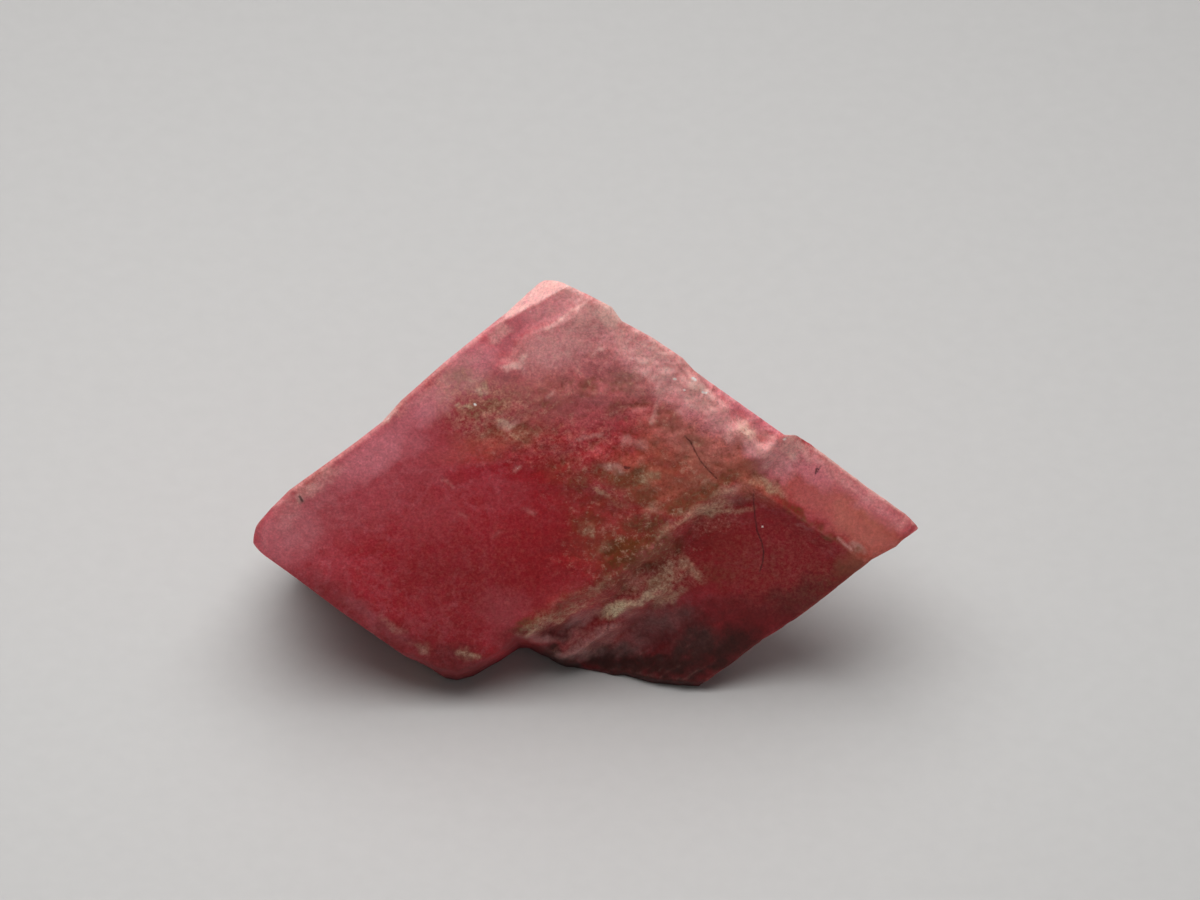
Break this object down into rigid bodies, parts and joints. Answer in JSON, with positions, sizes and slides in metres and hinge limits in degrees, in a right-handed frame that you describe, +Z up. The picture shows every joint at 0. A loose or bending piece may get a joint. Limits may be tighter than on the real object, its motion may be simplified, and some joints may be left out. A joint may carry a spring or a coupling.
{
  "type": "rhodochrosite crystal specimen",
  "caption": "Loose pink rhombohedral crystal with a broad flat front face, an etched middle, a broken lower corner and a stepped broken back, lying on its broken foot.",
  "frame": {"origin": "on the rest plane, under the middle of the stone's box", "axes": "+X runs along the length toward the pointed right tip, the broad crystal face looks toward -Y, +Z is up"},
  "size_m": [0.0202, 0.008, 0.0132],
  "materials": {
    "rhodochrosite": "waxy to dull, a little translucent"
  },
  "bodies": {
    "root": {"crystal": "rhodochrosite"}
  },
  "joints": []
}
